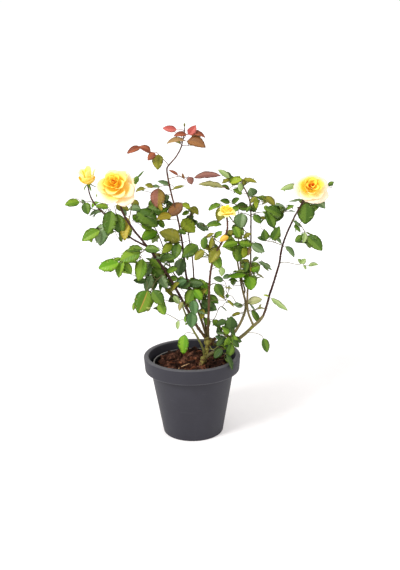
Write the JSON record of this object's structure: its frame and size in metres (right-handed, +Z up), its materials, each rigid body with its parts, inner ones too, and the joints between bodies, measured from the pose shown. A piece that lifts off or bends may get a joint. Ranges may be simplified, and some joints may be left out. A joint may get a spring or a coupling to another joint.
{
  "type": "rose bush in a pot",
  "caption": "Potted yellow rose bush: thorny canes rise from a short stump in a round tapered pot, with open sprays of green and bronze leaves and cupped blooms at the tips.",
  "frame": {"origin": "centre of the pot's flat underside, on the surface that the pot stands on", "axes": "+Z up, -Y towards the front of the bush, +X to the right seen from the front"},
  "size_m": [0.666, 0.306, 0.796],
  "materials": {
    "pot": "satin moulded anthracite plastic with faint mottling",
    "growers_pot": "thin black nursery pot plastic",
    "compost": "moist composted bark, rough and matt",
    "old_bark": "greenish brown stump with corky knobs",
    "dark_bark": "smooth dark red-brown rose bark with thorns",
    "young_bark": "smooth olive green young rose bark",
    "green_leaf": "serrated rose leaves, satin above and duller below",
    "bronze_leaf": "young rose leaves, bronze to red",
    "petal": "soft petals, orange at the heart, yellow, and pale peach outside",
    "bud": "green rose bud with sepals"
  },
  "bodies": {
    "root": {"back_centre_leaves": "green_leaf", "back_left_leaves": "green_leaf", "back_low_leaves": "green_leaf", "back_right_leaves": "green_leaf", "bronze_left_leaves": "bronze_leaf", "bronze_left_stalk": "dark_bark", "bronze_right_leaves": "bronze_leaf", "bronze_right_stalk": "dark_bark", "bud": "bud", "bud_stalk": "dark_bark", "centre_leaves": "green_leaf", "compost": "compost", "crown_tip_leaves": "bronze_leaf", "far_left_bloom": "petal", "far_left_leaves": "green_leaf", "front_leaves": "green_leaf", "green_cane": "young_bark", "growers_pot": "growers_pot", "inner_left_cane": "dark_bark", "inner_thin_cane": "dark_bark", "inner_top_leaves": "green_leaf", "left_cane": "dark_bark", "left_fork_cane": "dark_bark", "left_inner_leaves": "green_leaf", "left_lower_leaves": "green_leaf", "left_lower_shoot": "dark_bark", "left_middle_leaves": "green_leaf", "left_middle_shoot": "dark_bark", "left_top_leaves": "green_leaf", "left_upper_leaves": "green_leaf", "low_centre_leaves": "green_leaf", "low_right_leaves": "green_leaf", "low_right_shoot": "young_bark", "main_bloom": "petal", "middle_cane": "dark_bark", "middle_leaves": "green_leaf", "pot": "pot", "right_back_cane": "dark_bark", "right_base_leaves": "green_leaf", "right_bloom": "petal", "right_bloom_leaves": "green_leaf", "right_cane": "dark_bark", "right_cane_foot": "dark_bark", "right_inner_cane": "young_bark", "right_low_leaves": "green_leaf", "right_middle_leaves": "green_leaf", "right_outer_leaves": "green_leaf", "right_outer_shoot": "dark_bark", "right_pair_leaves": "green_leaf", "right_pair_stalk": "dark_bark", "right_side_leaves": "green_leaf", "right_side_stalk": "dark_bark", "right_tall_cane": "dark_bark", "right_top_leaves": "green_leaf", "right_upper_leaves": "green_leaf", "small_bloom": "petal", "stump": "old_bark", "tall_cane": "dark_bark", "tall_middle_leaves": "green_leaf"}
  },
  "joints": []
}
